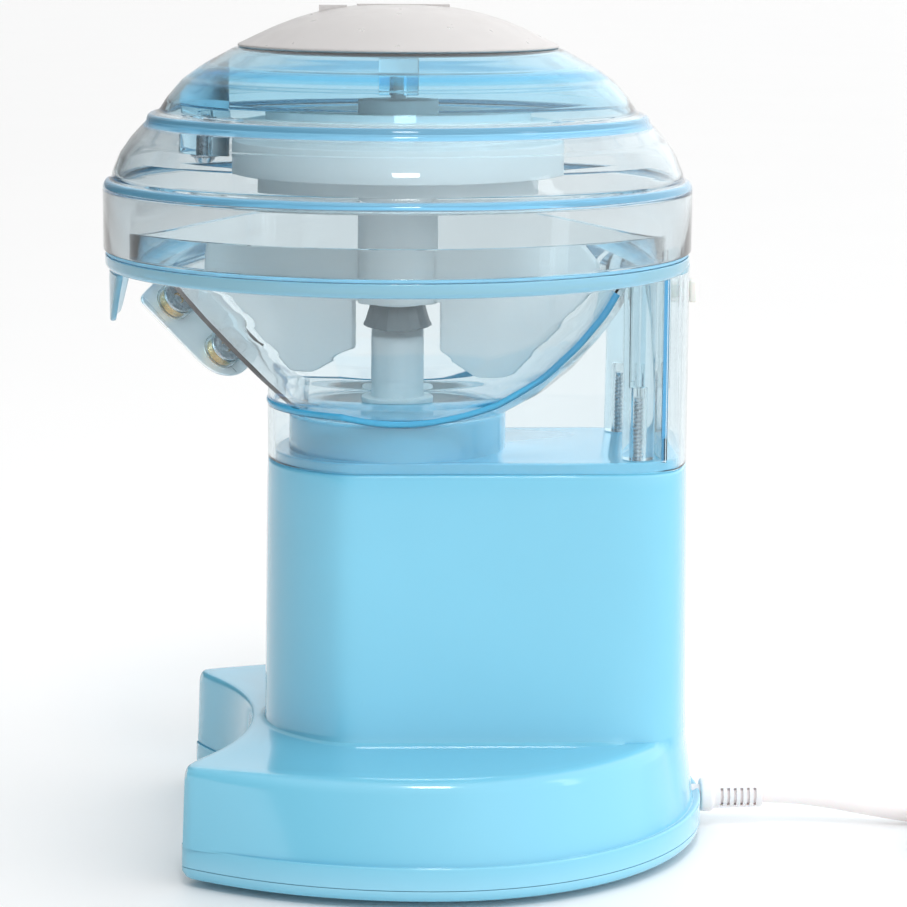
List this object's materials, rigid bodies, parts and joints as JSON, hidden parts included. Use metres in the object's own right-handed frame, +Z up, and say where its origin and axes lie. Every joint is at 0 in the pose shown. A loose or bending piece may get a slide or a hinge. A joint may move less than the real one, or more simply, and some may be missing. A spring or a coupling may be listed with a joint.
{
  "type": "shaved ice machine",
  "caption": "Countertop ice shaver with a clear hopper and stepped clear lid over a motor tower, a slanted blade at the front, a foot scooped for a cup, and a mains cord.",
  "frame": {"origin": "on the table, under the middle of the machine's box without its cord", "axes": "+Z up; -Y is the front, where the shaved ice falls; +X is to the right of a person who faces the front; the hopper, lid, paddle and motor turn about the vertical line at y = -0.0041"},
  "size_m": [0.2346, 0.4608, 0.338],
  "materials": {
    "blue_shell": "glossy moulded ABS, sky blue",
    "clear_hopper": "clear moulded plastic with a faint blue tint",
    "clear_lid": "clear moulded plastic with a faint blue tint",
    "frosted_cap": "frosted translucent plastic",
    "clear_boss": "clear moulded plastic",
    "milky_plastic": "milky translucent plastic",
    "seal": "soft translucent seal",
    "white_plastic": "satin moulded plastic",
    "cord_white": "satin flexible PVC, warm white",
    "rubber": "matt black rubber",
    "stainless": "ground stainless steel",
    "screw_steel": "plated steel",
    "shaft_steel": "ground steel",
    "die_cast": "as cast",
    "windings": "laminations with varnished copper windings",
    "brass": "machined brass",
    "dark_plastic": "satin dark plastic"
  },
  "bodies": {
    "machine": {"base_housing": "blue_shell", "bearing_bottom": "shaft_steel", "bearing_top": "shaft_steel", "blade_insert_1": "brass", "blade_insert_2": "brass", "blade_screw_1": "screw_steel", "blade_screw_2": "screw_steel", "bottom_plate": "blue_shell", "bracket_screw": "screw_steel", "cord_coil": "cord_white", "cord_tube": "cord_white", "foot_pad_1": "rubber", "foot_pad_2": "rubber", "foot_pad_3": "rubber", "foot_pad_4": "rubber", "foot_screw_1": "screw_steel", "foot_screw_2": "screw_steel", "foot_screw_3": "screw_steel", "foot_screw_4": "screw_steel", "front_deflector": "clear_hopper", "housing_screw_1": "screw_steel", "housing_screw_2": "screw_steel", "insert_cup_1": "screw_steel", "insert_cup_2": "screw_steel", "interlock_spring": "screw_steel", "micro_switch": "dark_plastic", "motor_bracket_bottom": "die_cast", "motor_bracket_top": "die_cast", "motor_screw_1": "screw_steel", "motor_screw_2": "screw_steel", "motor_screw_3": "screw_steel", "motor_stator": "windings", "plug_body": "cord_white", "plug_pin_1": "brass", "plug_pin_2": "brass", "rim_gasket": "seal", "shaft_sleeve": "milky_plastic", "strain_relief": "cord_white", "switch_bracket": "screw_steel", "upper_housing": "clear_hopper"},
    "lid": {"lid_dome": "clear_lid", "lid_cap": "frosted_cap", "lid_bearing": "clear_boss", "lid_boss_screw": "screw_steel", "lid_boss_washer": "screw_steel"},
    "rotor": {"motor_shaft": "shaft_steel", "motor_armature": "windings", "cooling_fan": "dark_plastic", "drive_coupling": "dark_plastic"},
    "paddle": {"paddle": "milky_plastic", "pusher_drum": "milky_plastic"},
    "interlock": {"interlock_rod": "white_plastic", "interlock_slider": "clear_boss", "interlock_knob": "white_plastic"},
    "lever": {"switch_lever": "screw_steel"},
    "plunger": {"switch_plunger": "white_plastic"},
    "blade": {"blade": "stainless"}
  },
  "joints": [
    {"name": "lid_lift", "type": "slide", "parent": "machine", "child": "lid", "axis": [0, 0, 1], "range_m": [0, 0.12]},
    {"name": "drive_spin", "type": "hinge", "parent": "machine", "child": "rotor", "pos_m": [0, -0.0041, 0.15], "axis": [0, 0, 1], "continuous": true},
    {"name": "paddle_spin", "type": "hinge", "parent": "machine", "child": "paddle", "pos_m": [0, -0.0041, 0.25], "axis": [0, 0, 1], "continuous": true},
    {"name": "interlock_press", "type": "slide", "parent": "machine", "child": "interlock", "axis": [0, 0, 1], "range_m": [-0.003, 0], "stiffness_N_per_m": 300, "springref_m": 0.002, "deforming": ["interlock_spring"]},
    {"name": "lever_pivot", "type": "hinge", "parent": "machine", "child": "lever", "pos_m": [0, 0.0798, 0.13625], "axis": [1, 0, 0], "range_deg": [-7.5, 0]},
    {"name": "plunger_press", "type": "slide", "parent": "machine", "child": "plunger", "axis": [0, 0, 1], "range_m": [-0.0008, 0]},
    {"name": "blade_adjust", "type": "slide", "parent": "machine", "child": "blade", "axis": [-0.788, 0.445, 0.4255], "range_m": [-0.0015, 0.0005]}
  ],
  "couplings": [
    {"joint": "paddle_spin", "follows": "drive_spin", "ratio": 1},
    {"joint": "lever_pivot", "follows": "interlock_press", "rad_per_m": 43.29},
    {"joint": "plunger_press", "follows": "interlock_press", "ratio": 0.2641}
  ]
}
